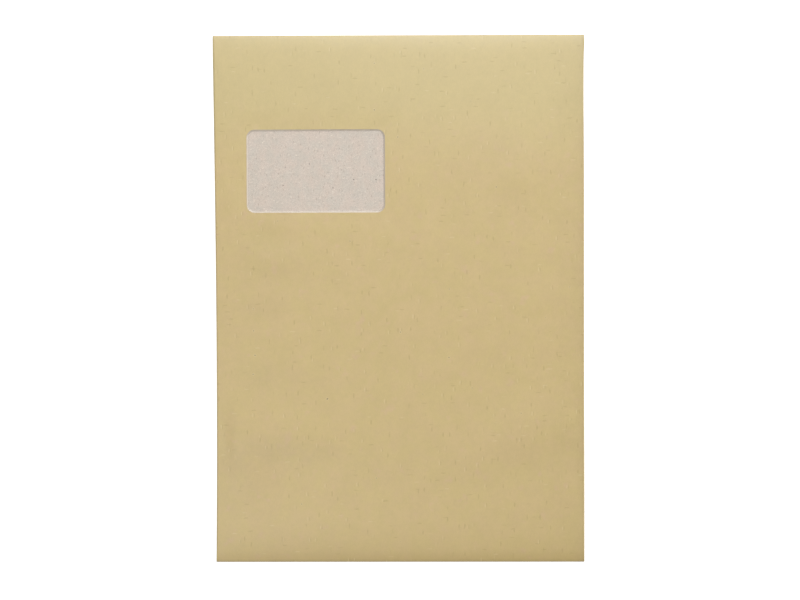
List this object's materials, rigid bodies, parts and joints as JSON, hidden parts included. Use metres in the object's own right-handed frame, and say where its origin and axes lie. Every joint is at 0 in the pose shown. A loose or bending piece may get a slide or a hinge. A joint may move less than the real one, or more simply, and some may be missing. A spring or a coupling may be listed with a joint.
{
  "type": "board-backed window envelope",
  "caption": "A C4 board-backed envelope of manila paper, lying face up, with a round-cornered address window at the upper left.",
  "frame": {"origin": "middle of the outline, on the surface that the envelope lies on", "axes": "+X is the right of the front, +Y runs up to the fold of the closing flap, +Z points out of the front"},
  "size_m": [0.229, 0.324, 0.0022],
  "materials": {
    "manila_paper": "matte, finely fibrous",
    "grey_board": "matte, flecked",
    "clear_film": "clear, slightly glossy",
    "dried_glue": "matte",
    "sticky_strip": "satin",
    "liner_paper": "smooth, slightly glossy"
  },
  "bodies": {
    "root": {"paper_sheet": "manila_paper", "back_board": "grey_board", "window_film": "clear_film", "window_glue": "dried_glue", "seam_glue_left": "dried_glue", "seam_glue_right": "dried_glue", "bottom_glue": "dried_glue", "adhesive_strip": "sticky_strip", "release_liner": "liner_paper"}
  },
  "joints": []
}
